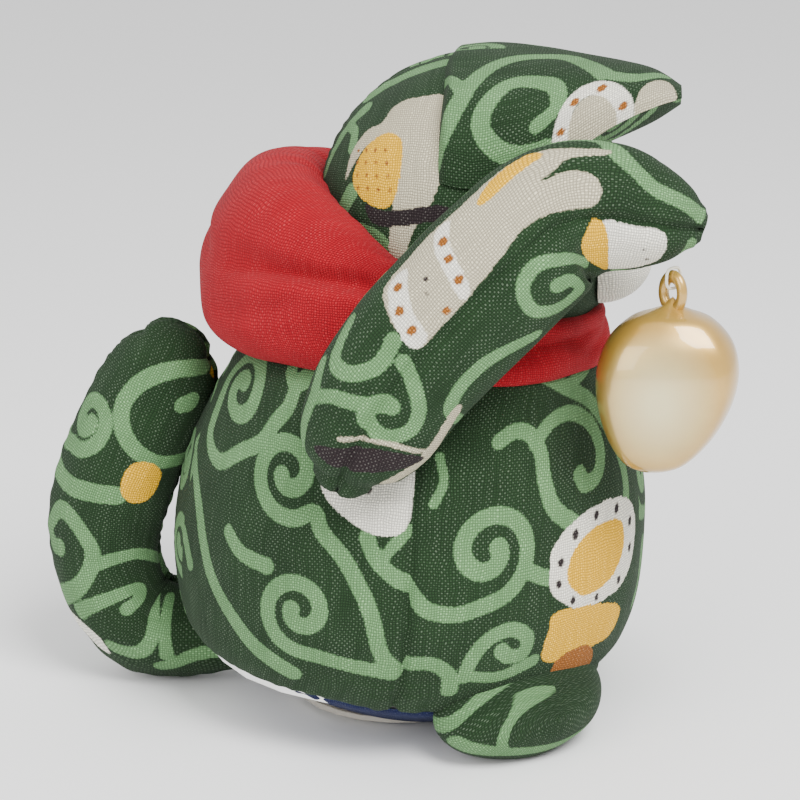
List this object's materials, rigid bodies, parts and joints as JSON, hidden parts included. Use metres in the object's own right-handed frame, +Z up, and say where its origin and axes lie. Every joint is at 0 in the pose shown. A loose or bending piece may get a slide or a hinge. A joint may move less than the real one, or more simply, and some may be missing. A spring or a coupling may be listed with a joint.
{
  "type": "stuffed cloth dragon",
  "caption": "Seated stuffed-cloth dragon ornament with one raised arm, a curled tail, a tied neckerchief and a drop hanging from its paw by thread",
  "frame": {"origin": "middle of the flat rest under the base", "axes": "+Z is up, the dragon faces -Y, +X is the dragon's left"},
  "size_m": [0.0871, 0.0973, 0.0936],
  "materials": {
    "printed_cotton": "coarse plain-weave cotton, forest green printed with sage scrolls",
    "navy_cotton": "plain-weave cotton, navy",
    "red_cotton": "plain-weave cotton, red with sparse dark sprigs",
    "gold_lacquer": "moulded drop with a glossy pearl-gold lacquer",
    "thread": "cream sewing thread",
    "stuffing": "white polyester fibre",
    "card": "grey board",
    "pellet_bag": "thin cloth bag of plastic pellets"
  },
  "bodies": {
    "toy": {"body_front_panel": "printed_cotton", "body_back_right_panel": "printed_cotton", "body_back_left_panel": "printed_cotton", "right_foot_cover": "printed_cotton", "left_foot_cover": "printed_cotton", "head_left_panel": "printed_cotton", "head_right_panel": "printed_cotton", "snout_top_panel": "printed_cotton", "snout_under_panel": "printed_cotton", "lower_jaw_cover": "printed_cotton", "body_stuffing": "stuffing", "right_foot_stuffing": "stuffing", "left_foot_stuffing": "stuffing", "head_stuffing": "stuffing", "snout_stuffing": "stuffing", "lower_jaw_stuffing": "stuffing", "nape_bundle_stuffing": "stuffing", "base_panel": "navy_cotton", "base_card": "card", "weight_bag": "pellet_bag", "neck_stitching": "thread", "neckerchief_band": "red_cotton", "nape_bundle_cloth": "red_cotton"},
    "right_arm": {"right_arm_upper_panel": "printed_cotton", "right_arm_lower_panel": "printed_cotton", "right_arm_stuffing": "stuffing"},
    "left_arm": {"left_arm_upper_panel": "printed_cotton", "left_arm_lower_panel": "printed_cotton", "left_arm_stuffing": "stuffing"},
    "tail": {"tail_left_panel": "printed_cotton", "tail_right_panel": "printed_cotton", "tail_stuffing": "stuffing"},
    "thread": {"hanging_thread": "thread"},
    "drop": {"drop": "gold_lacquer"}
  },
  "joints": [
    {"name": "right_arm_lower", "type": "hinge", "parent": "toy", "child": "right_arm", "pos_m": [-0.034, 0.0015, 0.048], "axis": [1, 0, 0], "range_deg": [-8, 8]},
    {"name": "left_arm_lower", "type": "hinge", "parent": "toy", "child": "left_arm", "pos_m": [0.034, 0.0015, 0.048], "axis": [1, 0, 0], "range_deg": [-8, 3]},
    {"name": "tail_wag", "type": "hinge", "parent": "toy", "child": "tail", "pos_m": [0.0015, 0.0305, 0.008], "axis": [0, 0, 1], "range_deg": [-8, 8]},
    {"name": "thread_swing", "type": "hinge", "parent": "right_arm", "child": "thread", "pos_m": [-0.0232, -0.0374, 0.06815], "axis": [0.7071, -0.7071, 0], "range_deg": [-14, 14]},
    {"name": "drop_swing", "type": "hinge", "parent": "thread", "child": "drop", "pos_m": [-0.0232, -0.0374, 0.0668], "axis": [0.7071, 0.7071, 0], "range_deg": [-14, 14]}
  ]
}
